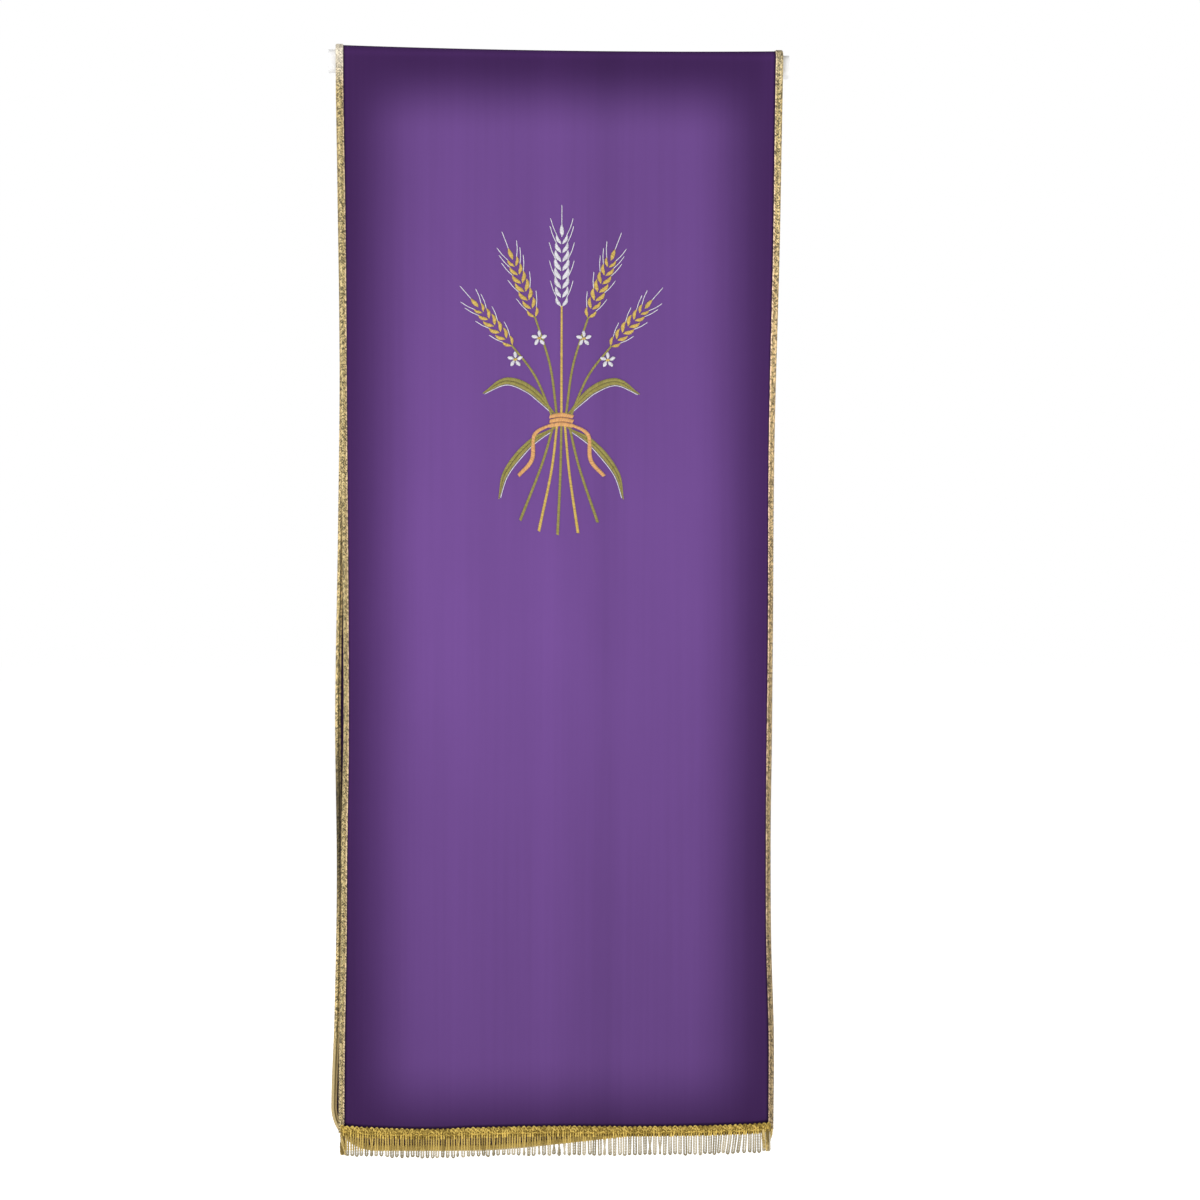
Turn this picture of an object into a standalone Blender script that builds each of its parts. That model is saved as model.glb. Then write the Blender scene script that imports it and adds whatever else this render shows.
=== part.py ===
"""Lectern cover: one long strip of purple cloth laid over a square white bar.

The strip hangs down in front of the bar and behind it. A gold binding is folded over its edge, from the front
hem, over the bar, round the rounded corners of the back panel and up again. A gold fringe, with a scalloped
heading, is sewn across the front hem. Metres, +Z up, front towards -Y. The origin is the centre of the bar's
flat underside, half way between the two panels.
"""

import math
import random
from collections import namedtuple

import bmesh
import bpy
from mathutils import Vector

MM = 0.001
GAP = 0.3 * MM

# Bar
BAR_LENGTH = 518 * MM
BAR_SIDE = 25 * MM
BAR_EDGE_RADIUS = 6.5 * MM
BAR_EDGE_SEGMENTS = 4

# Cloth
CLOTH_WIDTH = 500 * MM
CLOTH_THICKNESS = 1.2 * MM
FOLD_RADIUS = 5.6 * MM
SIDE_CLEARANCE = 2 * MM
EDGE_RISE = 2.8 * MM
RISE_FADES_AT = 150 * MM
CURL_WIDTH = 45 * MM
BACK_CORNER_RADIUS = 50 * MM

# Binding, folded over the cloth's edge
BINDING_THICKNESS = 0.8 * MM
BINDING_GAP = 0.4 * MM
BINDING_OUTER_LEAF = 7.2 * MM
BINDING_INNER_LEAF = 5.4 * MM

# Heading of the fringe
HEADING_HEIGHT = 12.4 * MM
HEADING_THICKNESS = 1.4 * MM
HEADING_BELOW_HEM = 1.5 * MM
HEADING_SHORT_OF_LEFT_EDGE = 3.6 * MM
HEADING_SHORT_OF_RIGHT_EDGE = 5.4 * MM
HEADING_STEP_STARTS = 19.5 * MM
HEADING_STEP_ENDS = 12.5 * MM
SCALLOP_DEPTH = 2.2 * MM

# Strands of the fringe
STRAND_COUNT = 86
STRAND_LENGTH = 22.6 * MM
END_BUNDLE_LONGER = 2 * MM
STRAND_SHARE_OF_PITCH = 0.55
STRAND_SWAY = 0.5 * MM
STRAND_SEED = 7
LEANING_MIDDLE = 197 * MM
LEANING_HALF_WIDTH = 30 * MM
LEANING_REACH = 3 * MM

# Fineness of the cloth's grid
FRONT_STEPS = 26
BACK_STEPS = 13
FOLD_STEPS = 4
CORNER_STEPS = 6
MIDDLE_COLUMNS = 12
ROWS_BESIDE_FOLD = (0.012, 0.03)

HALF_WIDTH = CLOTH_WIDTH / 2
HALF_THICKNESS = CLOTH_THICKNESS / 2
CLOTH_MIDDLE_TOP = BAR_SIDE + GAP + HALF_THICKNESS
CLOTH_TOP = CLOTH_MIDDLE_TOP + HALF_THICKNESS
PANEL_DEPTH = BAR_SIDE / 2 + SIDE_CLEARANCE + HALF_THICKNESS
PANEL_START = CLOTH_TOP - CLOTH_MIDDLE_TOP + FOLD_RADIUS
FLAT_TOP_HALF = PANEL_DEPTH - FOLD_RADIUS
FOLD_ARC = FOLD_RADIUS * math.pi / 2
FOLD_END = FLAT_TOP_HALF + FOLD_ARC

# One row for each level of a panel, in millimetres: how far the level lies below the cloth's top, how far each
# side edge is drawn in, how far each side curls back out of the panel, and how far the middle swells forward.
Section = namedtuple("Section", "drop left_in right_in left_curl right_curl swell")
FRONT_SECTIONS = (
    Section(0, 0.0, 0.0, 0.0, 0.0, 0.0),
    Section(60, 0.5, 0.6, 0.5, 1.0, 0.5),
    Section(215, 3.5, 2.2, 3.0, 5.0, 1.5),
    Section(440, 6.0, 7.0, 5.0, 8.0, 3.0),
    Section(665, 9.6, 7.6, 10.0, 10.0, 4.5),
    Section(780, 9.8, 8.4, 9.5, 8.5, 4.5),
    Section(890, 7.4, 9.2, 7.5, 10.0, 3.5),
    Section(1005, 7.2, 8.0, 9.0, 9.5, 2.5),
    Section(1115, 5.5, 4.3, 10.5, 10.5, 1.5),
    Section(1250, 4.7, 4.5, 11.0, 11.5, 1.0),
)
BACK_SECTIONS = (
    Section(0, 0.0, 0.0, 0.0, 0.0, 0.0),
    Section(146, 1.7, 1.5, 0.0, 0.0, 0.5),
    Section(350, 4.6, 4.0, 0.0, 0.0, 1.2),
    Section(551, 2.8, 5.5, 0.0, 0.0, 2.0),
    Section(750, 0.0, 6.0, 0.0, 0.0, 2.5),
    Section(933, 2.1, 6.0, 0.0, 0.0, 1.5),
    Section(1090, -0.5, 4.0, 0.0, 0.0, 0.5),
    Section(1180, -3.7, 3.5, 0.0, 0.0, 0.0),
    Section(1260, -3.7, 3.5, 0.0, 0.0, 0.0),
)

# One row for each soft fold of a panel, in millimetres: its middle, its half width, how far it stands out
# (below zero, in), and the drops between which it shows.
Fold = namedtuple("Fold", "middle half_width height drop_from drop_to")
FRONT_FOLDS = (
    Fold(-112, 42, 2.4, 480, 800),
    Fold(26, 30, 1.8, 520, 760),
    Fold(-48, 36, -2.2, 760, 1170),
    Fold(92, 44, 1.6, 800, 1190),
    Fold(150, 40, -1.4, 260, 620),
)
BACK_FOLDS = (
    Fold(-90, 60, 2.5, 300, 1050),
    Fold(70, 70, -2.5, 420, 1100),
)

# One row for each place across a hem, in millimetres: the distance from the middle, and the hem's drop.
HemPoint = namedtuple("HemPoint", "across drop")
FRONT_HEM = (
    HemPoint(-250, 1218.0),
    HemPoint(-190, 1221.0),
    HemPoint(-137, 1222.4),
    HemPoint(-90, 1221.1),
    HemPoint(0, 1220.4),
    HemPoint(80, 1221.8),
    HemPoint(168, 1221.8),
    HemPoint(250, 1219.8),
)
BACK_HEM = (
    HemPoint(-250, 1241.7),
    HemPoint(-150, 1242.7),
    HemPoint(-80, 1242.2),
    HemPoint(0, 1236.7),
    HemPoint(80, 1230.2),
    HemPoint(160, 1224.7),
    HemPoint(250, 1219.2),
)

# One row for each step down a strand: how much wider and deeper it ends than it began, for a strand of the row
# and for the bundle at each end of the row.
StrandStep = namedtuple("StrandStep", "width depth end_width end_depth")
STRAND_STEPS = (
    StrandStep(1.0, 1.0, 1.35, 1.7),
    StrandStep(0.85, 0.9, 0.72, 0.8),
)

FRONT, BACK = -1, 1


def smooth(share):
    """Eases a share of the way from 0 to 1, and holds it there."""
    share = min(max(share, 0.0), 1.0)
    return share * share * (3 - 2 * share)


def read_table(table, key, column, place):
    """The value of one column at a place in millimetres, on a smooth curve through the rows."""
    keys = [getattr(row, key) for row in table]
    values = [getattr(row, column) for row in table]
    last = len(table) - 1
    if place <= keys[0]:
        return values[0]
    if place >= keys[last]:
        return values[last]
    i = max(k for k in range(last) if keys[k] <= place)
    span = keys[i + 1] - keys[i]
    t = (place - keys[i]) / span

    def slope(k):
        before, after = max(k - 1, 0), min(k + 1, last)
        return (values[after] - values[before]) / (keys[after] - keys[before])

    low, high = values[i], values[i + 1]
    start, end = slope(i) * span, slope(i + 1) * span
    return (
        low * (2 * t**3 - 3 * t**2 + 1)
        + start * (t**3 - 2 * t**2 + t)
        + high * (3 * t**2 - 2 * t**3)
        + end * (t**3 - t**2)
    )


def bump(away):
    """A soft bump, 1 in its middle and 0 from 1 away."""
    return (1 + math.cos(math.pi * away)) / 2 if abs(away) < 1 else 0.0


def fold_height(folds, across, drop):
    """How far the soft folds of a panel stand out at one place, in metres."""
    total = 0.0
    for fold in folds:
        away = (across / MM - fold.middle) / fold.half_width
        down = (drop / MM - fold.drop_from) / (fold.drop_to - fold.drop_from)
        if 0 < down < 1:
            total += fold.height * MM * bump(away) * math.sin(math.pi * down) ** 2
    return total


def edge_rise(across):
    """How far the bound edges lift the cloth off the bar."""
    return EDGE_RISE * (across / HALF_WIDTH) ** 2


def hem_drop(side, across):
    """The hem's distance below the cloth's top."""
    table = FRONT_HEM if side == FRONT else BACK_HEM
    return read_table(table, "across", "drop", across / MM) * MM


def corner_inset(drop, across):
    """How far the back panel's rounded lower corner stands in from the side edge."""
    into_corner = drop - (hem_drop(BACK, across) - BACK_CORNER_RADIUS)
    if into_corner <= 0:
        return 0.0
    reach = min(into_corner, BACK_CORNER_RADIUS)
    return BACK_CORNER_RADIUS - math.sqrt(BACK_CORNER_RADIUS**2 - reach**2)


def panel_point(side, across, drop):
    """A point in the middle of the cloth's thickness, on the front or back panel."""
    sections = FRONT_SECTIONS if side == FRONT else BACK_SECTIONS
    folds = FRONT_FOLDS if side == FRONT else BACK_FOLDS

    def section(column):
        return read_table(sections, "drop", column, drop / MM) * MM

    hand, outwards = ("left", -1) if across < 0 else ("right", 1)
    share = max(0.0, abs(across) - (HALF_WIDTH - CURL_WIDTH)) / CURL_WIDTH
    x = across - outwards * section(hand + "_in") * share**2
    if side == BACK:
        x *= 1 - corner_inset(drop, across) / HALF_WIDTH
    out = (
        edge_rise(across) * (1 - smooth(drop / RISE_FADES_AT))
        + section("swell") * (1 - (across / HALF_WIDTH) ** 2)
        + fold_height(folds, across, drop)
        - section(hand + "_curl") * share**3
    )
    return Vector((x, side * (PANEL_DEPTH + out), CLOTH_TOP - drop))


def fold_point(across, along):
    """A point in the middle of the cloth's thickness over the bar, a distance along from the top's middle."""
    side = FRONT if along < 0 else BACK
    turned = max(0.0, abs(along) - FLAT_TOP_HALF) / FOLD_RADIUS
    radius = FOLD_RADIUS + edge_rise(across)
    y = side * (min(abs(along), FLAT_TOP_HALF) + radius * math.sin(turned))
    z = CLOTH_MIDDLE_TOP - FOLD_RADIUS + radius * math.cos(turned)
    return Vector((across, y, z))


def cloth_point(across, row):
    """A point in the middle of the cloth's thickness. Rows run from -2 at the front hem to -1 at the front of
    the bar, 1 at its back and 2 at the back hem."""
    if abs(row) <= 1:
        return fold_point(across, row * FOLD_END)
    side = FRONT if row < 0 else BACK
    return panel_point(side, across, PANEL_START + (abs(row) - 1) * (hem_drop(side, across) - PANEL_START))


def cloth_rows():
    """The rows of the cloth's grid: close over the bar and round the back's corners, wide on the panels."""
    corner_share = BACK_CORNER_RADIUS / (hem_drop(BACK, 0) - PANEL_START)
    front = [-2 + i / FRONT_STEPS for i in range(FRONT_STEPS)]
    front += [-1 - share for share in reversed(ROWS_BESIDE_FOLD)]
    fold = [(FLAT_TOP_HALF + FOLD_ARC * i / FOLD_STEPS) / FOLD_END for i in range(FOLD_STEPS + 1)]
    back = [1 + share for share in ROWS_BESIDE_FOLD]
    back += [1 + (1 - corner_share) * i / BACK_STEPS for i in range(1, BACK_STEPS + 1)]
    corner = [
        2 - corner_share * (1 - math.sin(math.pi / 2 * i / CORNER_STEPS))
        for i in range(1, CORNER_STEPS + 1)
    ]
    return front + [-row for row in reversed(fold)] + fold + back + corner


def cloth_columns():
    """The places across the cloth's grid: close in the curled sides, and one at the binding's inner edge."""
    insets = [0.0, BINDING_OUTER_LEAF, 25 * MM, CURL_WIDTH, 70 * MM]
    middle_half = HALF_WIDTH - insets[-1]
    middle = [-middle_half + 2 * middle_half * i / MIDDLE_COLUMNS for i in range(1, MIDDLE_COLUMNS)]
    return [-HALF_WIDTH + i for i in insets] + middle + [HALF_WIDTH - i for i in reversed(insets)]


ROWS = cloth_rows()
COLUMNS = cloth_columns()


def clear_scene():
    for old in list(bpy.data.objects):
        bpy.data.objects.remove(old, do_unlink=True)


def plain_material(name, colour, roughness, metallic=0.0):
    material = bpy.data.materials.new(name)
    material.use_nodes = True
    shader = material.node_tree.nodes["Principled BSDF"]
    shader.inputs["Base Color"].default_value = (*colour, 1.0)
    shader.inputs["Roughness"].default_value = roughness
    shader.inputs["Metallic"].default_value = metallic
    return material


def new_object(name, bm, material, collection):
    mesh = bpy.data.meshes.new(name)
    bm.to_mesh(mesh)
    bm.free()
    mesh.materials.append(material)
    made = bpy.data.objects.new(name, mesh)
    collection.objects.link(made)
    return made


def numbered_grid(columns, rows):
    """A flat grid primitive, in which the x and y of each point are the numbers of its column and row."""
    bm = bmesh.new()
    bmesh.ops.create_grid(bm, x_segments=columns, y_segments=rows, size=1.0)
    bmesh.ops.translate(bm, vec=(1, 1, 0), verts=bm.verts)
    bmesh.ops.scale(bm, vec=(columns / 2, rows / 2, 1), verts=bm.verts)
    return bm


def move_points(bm, place):
    """Moves each point of a numbered grid to where place(column, row, layer) puts it."""
    for vert in bm.verts:
        vert.co = place(round(vert.co.x), round(vert.co.y), round(vert.co.z))


def add_thickness(made, thickness):
    """Solidify, half to each side of the open surface."""
    solidify = made.modifiers.new("thickness", "SOLIDIFY")
    solidify.thickness = thickness
    solidify.offset = 0.0
    solidify.use_even_offset = True


def make_bar(collection):
    bm = bmesh.new()
    bmesh.ops.create_cube(bm, size=1.0)
    bmesh.ops.scale(bm, vec=(BAR_LENGTH, BAR_SIDE, BAR_SIDE), verts=bm.verts)
    bmesh.ops.translate(bm, vec=(0, 0, BAR_SIDE / 2), verts=bm.verts)
    long_edges = [e for e in bm.edges if abs(e.verts[0].co.x - e.verts[1].co.x) > BAR_LENGTH / 2]
    bmesh.ops.bevel(
        bm, geom=long_edges, offset=BAR_EDGE_RADIUS, segments=BAR_EDGE_SEGMENTS, profile=0.5, affect="EDGES"
    )
    white = plain_material("bar_white_paint", (0.86, 0.86, 0.87), 0.45)
    return new_object("hanging_bar", bm, white, collection)


def make_cloth(collection):
    bm = numbered_grid(len(COLUMNS) - 1, len(ROWS) - 1)
    move_points(bm, lambda column, row, layer: cloth_point(COLUMNS[column], ROWS[row]))
    bmesh.ops.reverse_faces(bm, faces=bm.faces)
    purple = plain_material("cloth_purple", (0.155, 0.070, 0.275), 0.85)
    cloth = new_object("cloth", bm, purple, collection)
    add_thickness(cloth, CLOTH_THICKNESS)
    cloth.data.shade_smooth()
    return cloth


def binding_route():
    """The cloth's grid points along its bound edge: left side, back hem, right side."""
    left = [(COLUMNS[0], row) for row in ROWS]
    hem = [(across, ROWS[-1]) for across in COLUMNS[1:-1]]
    right = [(COLUMNS[-1], row) for row in reversed(ROWS)]
    return left + hem + right


def surface_normal(across, row):
    """The cloth's normal beside its edge, away from the bar, over the width that the binding covers."""
    towards_middle = -math.copysign(BINDING_OUTER_LEAF, across)
    row_step = 0.002 if row < 0 else -0.002
    here = cloth_point(across, row)
    over = cloth_point(across + towards_middle, row) - here
    down = (cloth_point(across, row + row_step) - here) / row_step
    normal = over.cross(down).normalized()
    return normal if towards_middle > 0 else -normal


def make_binding(collection):
    """A tape folded over the edge: four points across its bent middle surface, swept along the route."""
    route = binding_route()
    points = [cloth_point(*place) for place in route]
    leaf_offset = HALF_THICKNESS + BINDING_GAP + BINDING_THICKNESS / 2
    fold_outside = BINDING_GAP + BINDING_THICKNESS / 2
    profile = (
        (BINDING_OUTER_LEAF, leaf_offset),
        (-fold_outside, leaf_offset),
        (-fold_outside, -leaf_offset),
        (BINDING_INNER_LEAF, -leaf_offset),
    )

    def place(corner, station, layer):
        before, after = max(station - 1, 0), min(station + 1, len(points) - 1)
        along = (points[after] - points[before]).normalized()
        normal = surface_normal(*route[station])
        inward = along.cross(normal).normalized()
        inset, offset = profile[corner]
        return points[station] + inward * inset + normal * offset

    bm = numbered_grid(len(profile) - 1, len(route) - 1)
    move_points(bm, place)
    gold = plain_material("braid_gold", (0.42, 0.33, 0.16), 0.5, 0.3)
    binding = new_object("edge_binding", bm, gold, collection)
    add_thickness(binding, BINDING_THICKNESS)
    return binding


def heading_offset(across):
    """The heading's middle, out from the cloth's middle: it steps over the binding at both ends."""
    clear_of_cloth = HALF_THICKNESS + GAP + HEADING_THICKNESS / 2
    from_edge = HALF_WIDTH - abs(across)
    share = (HEADING_STEP_STARTS - from_edge) / (HEADING_STEP_STARTS - HEADING_STEP_ENDS)
    return clear_of_cloth + (BINDING_GAP + BINDING_THICKNESS) * smooth(share)


def heading_point(across, below_hem, out):
    """A point of the heading: a distance below the front hem, and a distance out from its middle."""
    step = 1 * MM
    drop = hem_drop(FRONT, across) + below_hem
    here = panel_point(FRONT, across, drop)
    over = panel_point(FRONT, across + step, drop) - panel_point(FRONT, across - step, drop)
    down = panel_point(FRONT, across, drop + step) - panel_point(FRONT, across, drop - step)
    return here + down.cross(over).normalized() * (heading_offset(across) + out)


def hang_strand(bm, root, is_end, chance):
    """Draws one strand down from its root face. A group near the right end leans to the left."""
    across = root.calc_center_median().x
    lean = -LEANING_REACH * bump((across - LEANING_MIDDLE) / LEANING_HALF_WIDTH)
    sway_x, sway_y, shorter = (chance.uniform(-STRAND_SWAY, STRAND_SWAY) for _ in range(3))
    length = STRAND_LENGTH - shorter + (END_BUNDLE_LONGER if is_end else 0.0)
    shift = Vector((lean + sway_x, sway_y, -length)) / len(STRAND_STEPS)
    face = root
    for step in STRAND_STEPS:
        face = bmesh.ops.extrude_discrete_faces(bm, faces=[face])["faces"][0]
        middle = face.calc_center_median()
        width, depth = (step.end_width, step.end_depth) if is_end else (step.width, step.depth)
        for vert in face.verts:
            from_middle = vert.co - middle
            vert.co = middle + shift + Vector((from_middle.x * width, from_middle.y * depth, from_middle.z))


def make_fringe(collection):
    """The heading is a thin strip with a scalloped top. Each strand grows out of its lower edge."""
    left_end = -HALF_WIDTH + HEADING_SHORT_OF_LEFT_EDGE
    right_end = HALF_WIDTH - HEADING_SHORT_OF_RIGHT_EDGE
    pitch = (right_end - left_end) / STRAND_COUNT
    shares = (0.0, (1 - STRAND_SHARE_OF_PITCH) / 2, (1 + STRAND_SHARE_OF_PITCH) / 2)
    across_at = [left_end + pitch * (k + share) for k in range(STRAND_COUNT) for share in shares]
    across_at.append(right_end)

    def place(column, row, layer):
        is_valley = column % len(shares) == 0
        top = HEADING_BELOW_HEM - HEADING_HEIGHT + (SCALLOP_DEPTH if is_valley else 0.0)
        below_hem = HEADING_BELOW_HEM if row == 0 else top
        return heading_point(across_at[column], below_hem, HEADING_THICKNESS * (0.5 - layer))

    bm = numbered_grid(len(across_at) - 1, 1)
    made = bmesh.ops.extrude_face_region(bm, geom=bm.faces[:])
    behind = [v for v in made["geom"] if isinstance(v, bmesh.types.BMVert)]
    bmesh.ops.translate(bm, vec=(0, 0, 1), verts=behind)
    move_points(bm, place)
    bmesh.ops.recalc_face_normals(bm, faces=bm.faces)

    chance = random.Random(STRAND_SEED)
    under_faces = sorted((f for f in bm.faces if f.normal.z < -0.7), key=lambda f: f.calc_center_median().x)
    roots = under_faces[1 :: len(shares)]
    for root in roots:
        hang_strand(bm, root, root in (roots[0], roots[-1]), chance)
    bmesh.ops.recalc_face_normals(bm, faces=bm.faces)
    gold = plain_material("fringe_gold", (0.43, 0.29, 0.06), 0.55, 0.2)
    return new_object("front_fringe", bm, gold, collection)


def main():
    clear_scene()
    collection = bpy.data.collections.new("lectern_cover")
    bpy.context.scene.collection.children.link(collection)
    make_bar(collection)
    make_cloth(collection)
    make_binding(collection)
    make_fringe(collection)


main()
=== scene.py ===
# Lectern cover on its bar: the finished look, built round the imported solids
import math
import bpy
import numpy as np
from mathutils import Matrix


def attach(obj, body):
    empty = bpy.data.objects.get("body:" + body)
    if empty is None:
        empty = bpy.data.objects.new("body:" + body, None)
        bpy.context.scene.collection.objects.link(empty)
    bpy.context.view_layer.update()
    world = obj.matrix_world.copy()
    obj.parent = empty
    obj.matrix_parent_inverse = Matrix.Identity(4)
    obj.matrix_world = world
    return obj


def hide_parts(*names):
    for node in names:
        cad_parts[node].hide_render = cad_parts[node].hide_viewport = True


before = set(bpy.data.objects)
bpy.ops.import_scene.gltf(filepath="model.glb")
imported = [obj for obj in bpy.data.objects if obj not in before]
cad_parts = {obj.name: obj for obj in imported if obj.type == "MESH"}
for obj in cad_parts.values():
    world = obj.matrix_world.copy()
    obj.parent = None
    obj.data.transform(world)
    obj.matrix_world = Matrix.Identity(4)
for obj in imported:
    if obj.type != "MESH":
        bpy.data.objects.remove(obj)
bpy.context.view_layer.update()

bpy.ops.object.select_all(action="DESELECT")
mm = 0.001
print("frame loaded")

# Camera, as the photograph was taken
cameraView = {
    "place": (-0.209, -3.5, -0.5102),
    "lens": 93.1,
    "sensor": 36.0,
    "turnedRight": 4.191,  # degrees
    "tiltedUp": -1.31,
    "rolled": 0.18,
}


def makeCamera():
    bpy.ops.object.camera_add(location=cameraView["place"])
    camera = bpy.context.active_object
    camera.name = "photoCamera"
    turned = Matrix.Rotation(-math.radians(cameraView["turnedRight"]), 4, "Z")
    tilted = Matrix.Rotation(math.radians(90 + cameraView["tiltedUp"]), 4, "X")
    rolled = Matrix.Rotation(math.radians(cameraView["rolled"]), 4, "Z")
    camera.matrix_world = Matrix.Translation(cameraView["place"]) @ turned @ tilted @ rolled
    camera.data.lens = cameraView["lens"]
    camera.data.sensor_width = cameraView["sensor"]
    camera.data.clip_end = 100
    bpy.context.scene.camera = camera


makeCamera()

# The hanging shape of the cloth, the same as the solids have
clothSize = {
    "width": 0.500,
    "thickness": 0.0012,
    "barSide": 0.025,
    "barGap": 0.0003,
    "foldRadius": 0.0056,
    "sideClearance": 0.002,
    "edgeRise": 0.0028,
    "riseFadesAt": 0.150,
    "curlWidth": 0.045,
    "backCornerRadius": 0.050,
    "rippleHeight": 0.00025,
    "rippleFrom": 0.04,  # the drop at which the cloth's ripples begin, and over how much they grow
    "rippleGrows": 0.2,
}

# Levels of a panel in mm: drop below the top, sides drawn in, sides curled back, middle swelling forward
sectionNames = ("drop", "leftIn", "rightIn", "leftCurl", "rightCurl", "swell")
frontSections = (
    (0, 0.0, 0.0, 0.0, 0.0, 0.0),
    (60, 0.5, 0.6, 0.5, 1.0, 0.5),
    (215, 3.5, 2.2, 3.0, 5.0, 1.5),
    (440, 6.0, 7.0, 5.0, 8.0, 3.0),
    (665, 9.6, 7.6, 10.0, 10.0, 4.5),
    (780, 9.8, 8.4, 9.5, 8.5, 4.5),
    (890, 7.4, 9.2, 7.5, 10.0, 3.5),
    (1005, 7.2, 8.0, 9.0, 9.5, 2.5),
    (1115, 5.5, 4.3, 10.5, 10.5, 1.5),
    (1250, 4.7, 4.5, 11.0, 11.5, 1.0),
)
backSections = (
    (0, 0.0, 0.0, 0.0, 0.0, 0.0),
    (146, 1.7, 1.5, 0.0, 0.0, 0.5),
    (350, 4.6, 4.0, 0.0, 0.0, 1.2),
    (551, 2.8, 5.5, 0.0, 0.0, 2.0),
    (750, 0.0, 6.0, 0.0, 0.0, 2.5),
    (933, 2.1, 6.0, 0.0, 0.0, 1.5),
    (1090, -0.5, 4.0, 0.0, 0.0, 0.5),
    (1180, -3.7, 3.5, 0.0, 0.0, 0.0),
    (1260, -3.7, 3.5, 0.0, 0.0, 0.0),
)

# Soft folds in mm: middle, half width, height, first drop, last drop
frontFolds = (
    (-112, 42, 2.4, 480, 800),
    (26, 30, 1.8, 520, 760),
    (-48, 36, -2.2, 760, 1170),
    (92, 44, 1.6, 800, 1190),
    (150, 40, -1.4, 260, 620),
)
backFolds = (
    (-90, 60, 2.5, 300, 1050),
    (70, 70, -2.5, 420, 1100),
)

# Hems in mm: across, drop
frontHem = (
    (-250, 1218.0), (-190, 1221.0), (-137, 1222.4), (-90, 1221.1),
    (0, 1220.4), (80, 1221.8), (168, 1221.8), (250, 1219.8),
)
backHem = (
    (-250, 1241.7), (-150, 1242.7), (-80, 1242.2), (0, 1236.7),
    (80, 1230.2), (160, 1224.7), (250, 1219.2),
)

halfWidth = clothSize["width"] / 2
halfThickness = clothSize["thickness"] / 2
clothMiddleTop = clothSize["barSide"] + clothSize["barGap"] + halfThickness
clothTop = clothMiddleTop + halfThickness
panelDepth = clothSize["barSide"] / 2 + clothSize["sideClearance"] + halfThickness
foldRadius = clothSize["foldRadius"]
panelStart = halfThickness + foldRadius
flatTopHalf = panelDepth - foldRadius
foldArc = foldRadius * math.pi / 2
foldEnd = flatTopHalf + foldArc


def smooth(share):
    share = np.clip(share, 0, 1)
    return share * share * (3 - 2 * share)


def bump(away):
    return np.where(np.abs(away) < 1, (1 + np.cos(np.pi * away)) / 2, 0)


def stack(*parts):
    return np.stack(np.broadcast_arrays(*parts), axis=-1)


def readTable(rows, column, places):
    # a smooth curve through one column of the rows, read at places in metres
    keys, values = (np.array([row[k] for row in rows]) * mm for k in (0, column))
    last = len(keys) - 1
    after = np.minimum(np.arange(last + 1) + 1, last)
    before = np.maximum(np.arange(last + 1) - 1, 0)
    slopes = (values[after] - values[before]) / (keys[after] - keys[before])
    places = np.clip(places, keys[0], keys[last])
    i = np.clip(np.searchsorted(keys, places, side="right") - 1, 0, last - 1)
    span = keys[i + 1] - keys[i]
    t = (places - keys[i]) / span
    low = values[i] * (2 * t**3 - 3 * t**2 + 1) + slopes[i] * span * (t**3 - 2 * t**2 + t)
    high = values[i + 1] * (3 * t**2 - 2 * t**3) + slopes[i + 1] * span * (t**3 - t**2)
    return low + high


def foldHeight(folds, across, drop):
    total = np.zeros(np.broadcast(across, drop).shape)
    for middle, half, height, first, last in folds:
        down = np.clip((drop / mm - first) / (last - first), 0, 1)
        total = total + height * mm * bump((across / mm - middle) / half) * np.sin(np.pi * down) ** 2
    return total


def ripple(across, drop):
    # the slight unevenness of hanging cloth, fading out near the bar
    slow = np.sin(across * 61 + drop * 3.1) * np.sin(drop * 9.3 + across * 7)
    quick = np.sin(across * 117 - drop * 2.3) * np.sin(drop * 5.1 + 1.7)
    grown = smooth((drop - clothSize["rippleFrom"]) / clothSize["rippleGrows"])
    return clothSize["rippleHeight"] * (slow + 0.6 * quick) * grown


def edgeRise(across):
    return clothSize["edgeRise"] * (across / halfWidth) ** 2


def hemDrop(side, across):
    return readTable(frontHem if side < 0 else backHem, 1, across)


def cornerInset(drop, across):
    radius = clothSize["backCornerRadius"]
    reach = np.clip(drop - (hemDrop(1, across) - radius), 0, radius)
    return radius - np.sqrt(radius**2 - reach**2)


def panelPoint(side, across, drop):
    # middle of the cloth's thickness; side is -1 for the front panel and 1 for the back
    sections, folds = (frontSections, frontFolds) if side < 0 else (backSections, backFolds)
    isLeft = across < 0
    share = np.maximum(0, np.abs(across) - (halfWidth - clothSize["curlWidth"])) / clothSize["curlWidth"]

    def section(*names):
        left, right = (readTable(sections, sectionNames.index(name), drop) for name in names)
        return np.where(isLeft, left, right)

    x = across - np.where(isLeft, -1, 1) * section("leftIn", "rightIn") * share**2
    if side > 0:
        x = x * (1 - cornerInset(drop, across) / halfWidth)
    out = (
        edgeRise(across) * (1 - smooth(drop / clothSize["riseFadesAt"]))
        + section("swell", "swell") * (1 - (across / halfWidth) ** 2)
        + foldHeight(folds, across, drop)
        + ripple(across, drop)
        - section("leftCurl", "rightCurl") * share**3
    )
    return stack(x, side * (panelDepth + out), clothTop - drop)


def panelLength(side):
    return float(hemDrop(side, np.array(0.0))) - panelStart


frontEnd = -(foldEnd + panelLength(-1))
backEnd = foldEnd + panelLength(1)


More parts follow.
